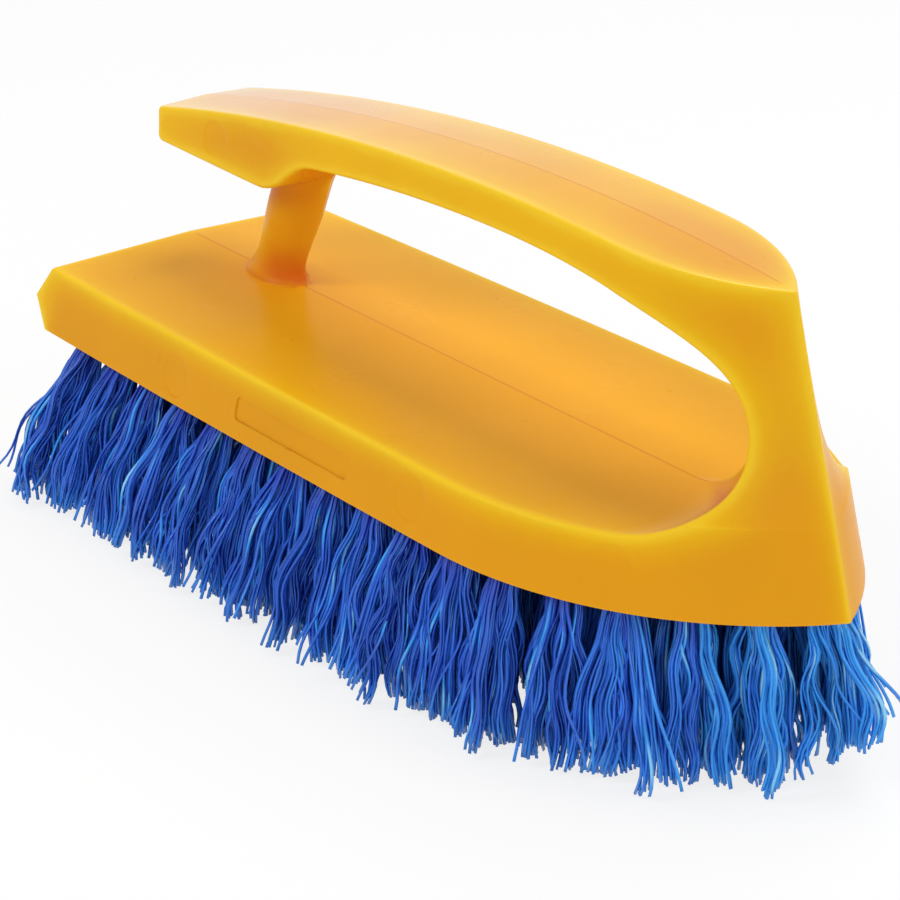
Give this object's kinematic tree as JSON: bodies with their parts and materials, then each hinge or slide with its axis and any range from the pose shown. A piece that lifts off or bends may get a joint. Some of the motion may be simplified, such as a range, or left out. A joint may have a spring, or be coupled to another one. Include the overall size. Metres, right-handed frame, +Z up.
{
  "type": "scrub brush",
  "caption": "Iron-handled scrub brush: one-piece plastic block with pointed toe, scraper heel, strut and arched grip, and stapled tufts of crimped filament.",
  "frame": {"origin": "on the surface that the bristle tips stand on, under the middle of the brush", "axes": "+X from the scraper heel to the toe, +Z up from the bristle tips to the grip"},
  "size_m": [0.1568, 0.075, 0.0717],
  "materials": {
    "moulding": "glossy polypropylene, slightly translucent",
    "bristle": "satin crimped filament",
    "staple": "bare flat wire"
  },
  "bodies": {
    "root": {"handle_block": "moulding", "tuft_row_01": "bristle", "staple_row_01": "staple", "tuft_row_02": "bristle", "staple_row_02": "staple", "tuft_row_03": "bristle", "staple_row_03": "staple", "tuft_row_04": "bristle", "staple_row_04": "staple", "tuft_row_05": "bristle", "staple_row_05": "staple", "tuft_row_06": "bristle", "staple_row_06": "staple", "tuft_row_07": "bristle", "staple_row_07": "staple", "tuft_row_08": "bristle", "staple_row_08": "staple", "tuft_row_09": "bristle", "staple_row_09": "staple", "tuft_row_10": "bristle", "staple_row_10": "staple", "tuft_row_11": "bristle", "staple_row_11": "staple", "tuft_row_12": "bristle", "staple_row_12": "staple", "tuft_row_13": "bristle", "staple_row_13": "staple", "tuft_row_14": "bristle", "staple_row_14": "staple", "tuft_row_15": "bristle", "staple_row_15": "staple", "tuft_row_16": "bristle", "staple_row_16": "staple", "tuft_row_17": "bristle", "staple_row_17": "staple"}
  },
  "joints": []
}
